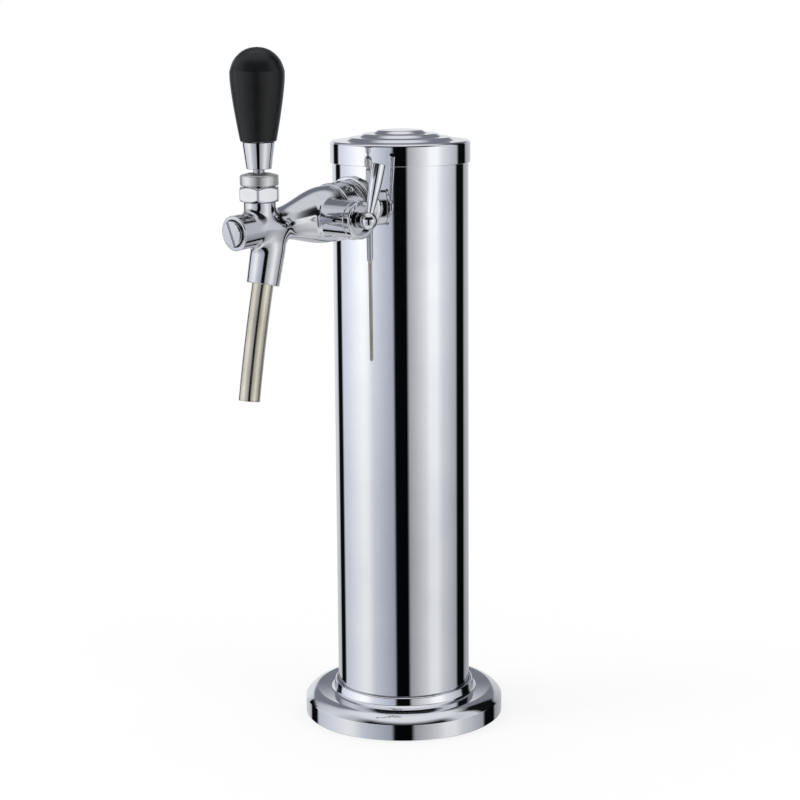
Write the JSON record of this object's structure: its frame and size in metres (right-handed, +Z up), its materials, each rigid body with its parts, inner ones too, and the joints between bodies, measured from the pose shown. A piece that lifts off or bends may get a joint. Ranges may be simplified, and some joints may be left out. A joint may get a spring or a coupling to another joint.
{
  "type": "beer tower dispenser",
  "caption": "Round chromed column on a domed flange with a lift-off stepped cap and a flow-control tap: tilting handle, side lever and bent spout.",
  "frame": {"origin": "centre of the whole tower's footprint box, on the counter; the column's axis stands 35 mm behind it", "axes": "+Z up, -Y the way the tap points, +X the side of the flow-control lever"},
  "size_m": [0.114, 0.1841, 0.3843],
  "materials": {
    "chrome": "mirror-polished chromium plate",
    "spout_steel": "drawn and polished stainless steel",
    "plain_steel": "plain machined steel",
    "brass": "machined brass",
    "black_plastic": "moulded, satin",
    "white_plastic": "turned acetal",
    "rubber": "moulded nitrile",
    "foam": "closed-cell foam"
  },
  "bodies": {
    "tower": {"base_gasket": "rubber", "mounting_plate": "plain_steel", "spigot_screw_1": "plain_steel", "spigot_screw_2": "plain_steel", "spigot_screw_3": "plain_steel", "spigot_screw_4": "plain_steel", "base_flange": "chrome", "column_tube": "chrome", "insulation_sleeve": "foam", "saddle_washer": "chrome", "inner_saddle": "plain_steel", "shank": "chrome", "shank_nut": "brass", "tail_seal": "rubber", "hose_tail": "spout_steel", "tail_nut": "brass", "coupling_nut": "chrome", "coupling_seal": "rubber", "tap_body": "chrome", "body_pin": "plain_steel", "front_plug": "chrome", "plug_seal": "rubber", "ball_seat": "white_plastic", "bonnet_nut": "chrome", "friction_ring": "white_plastic", "friction_collar": "chrome", "spout_tube": "spout_steel", "spout_seal": "rubber", "flow_seal": "rubber", "gland_nut": "chrome"},
    "cap": {"top_cap": "chrome", "cap_grip_ring": "rubber"},
    "handle": {"handle_lever": "plain_steel", "handle_ferrule": "chrome", "handle_knob": "black_plastic"},
    "shuttle": {"shuttle": "brass", "seat_seal": "rubber", "seal_nut": "brass"},
    "flow_lever": {"flow_shaft": "plain_steel", "flow_hub": "chrome", "flow_lever": "chrome"},
    "flow_cone": {"flow_cone": "white_plastic"}
  },
  "joints": [
    {"name": "handle_tilt", "type": "hinge", "parent": "tower", "child": "handle", "pos_m": [0, -0.07095, 0.31246], "axis": [1, 0, 0], "range_deg": [0, 18]},
    {"name": "shuttle_slide", "type": "slide", "parent": "tower", "child": "shuttle", "axis": [0, 0.9969, 0.0785], "range_m": [0, 0.0069]},
    {"name": "flow_lever_turn", "type": "hinge", "parent": "tower", "child": "flow_lever", "pos_m": [0.04, -0.03045, 0.29385], "axis": [1, 0, 0], "range_deg": [-30, 60]},
    {"name": "flow_cone_slide", "type": "slide", "parent": "tower", "child": "flow_cone", "axis": [0, -0.9969, -0.0785], "range_m": [-0.001, 0.0019]},
    {"name": "cap_lift", "type": "slide", "parent": "tower", "child": "cap", "axis": [0, 0, 1], "range_m": [0, 0.03]}
  ],
  "couplings": [
    {"joint": "shuttle_slide", "follows": "handle_tilt", "m_per_rad": 0.02164},
    {"joint": "flow_cone_slide", "follows": "flow_lever_turn", "m_per_rad": 0.0018}
  ]
}
